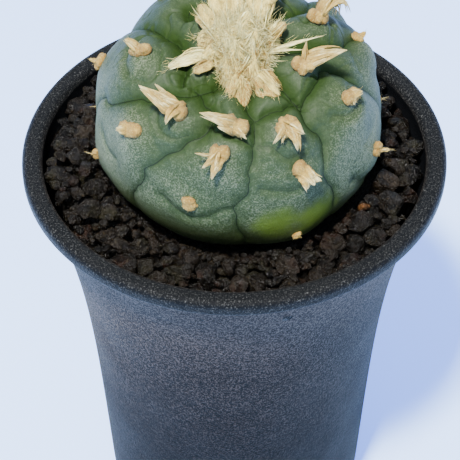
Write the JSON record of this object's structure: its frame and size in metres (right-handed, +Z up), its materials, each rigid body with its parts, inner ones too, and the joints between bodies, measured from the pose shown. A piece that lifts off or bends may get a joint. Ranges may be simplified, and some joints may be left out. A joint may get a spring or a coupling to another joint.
{
  "type": "potted round cactus",
  "caption": "Low round ribbed cactus with felt tufts and a woolly crown, rooted in dark gritty mix in a tall black nursery pot with a flared rim",
  "frame": {"origin": "centre of the pot's foot, on the surface it stands on", "axes": "+Z up, -Y is the front that the picture shows, +X to the right of it"},
  "size_m": [0.09, 0.09, 0.1446],
  "materials": {
    "pot_plastic": "matt black plastic with a fine spark-eroded grain, a little glossier on the rolled lip",
    "wet_grit": "damp dark brown gritty potting mix",
    "granule_stone": "damp dark brown porous granules",
    "flesh": "blue-green waxy plant skin with a pale bloom, greener in the furrows",
    "felt": "cream and golden-tan felted plant hair",
    "wool": "pale yellow and cream plant wool"
  },
  "bodies": {
    "root": {"pot": "pot_plastic", "potting_mix": "wet_grit", "cactus": "flesh", "crown_wool": "wool", "wool_lobe_1": "wool", "wool_lobe_2": "wool", "wool_lobe_3": "wool", "wool_lobe_4": "wool", "wool_lobe_5": "wool", "wool_lobe_6": "wool", "wool_lobe_7": "wool", "wool_lobe_8": "wool", "wool_lobe_9": "wool", "tuft_01": "felt", "tuft_02": "felt", "tuft_03": "felt", "tuft_04": "felt", "tuft_05": "felt", "tuft_06": "felt", "tuft_07": "felt", "tuft_08": "felt", "tuft_09": "felt", "tuft_10": "felt", "tuft_11": "felt", "tuft_12": "felt", "tuft_13": "felt", "tuft_14": "felt", "tuft_15": "felt", "tuft_16": "felt", "tuft_17": "felt", "tuft_18": "felt", "tuft_19": "felt", "tuft_20": "felt", "tuft_21": "felt", "tuft_22": "felt", "tuft_23": "felt", "tuft_24": "felt", "tuft_25": "felt", "tuft_26": "felt", "granule_01": "granule_stone", "granule_02": "granule_stone", "granule_03": "granule_stone", "granule_04": "granule_stone", "granule_05": "granule_stone", "granule_06": "granule_stone", "granule_07": "granule_stone", "granule_08": "granule_stone", "granule_09": "granule_stone", "granule_10": "granule_stone", "granule_11": "granule_stone", "granule_12": "granule_stone", "granule_13": "granule_stone", "granule_14": "granule_stone"}
  },
  "joints": []
}
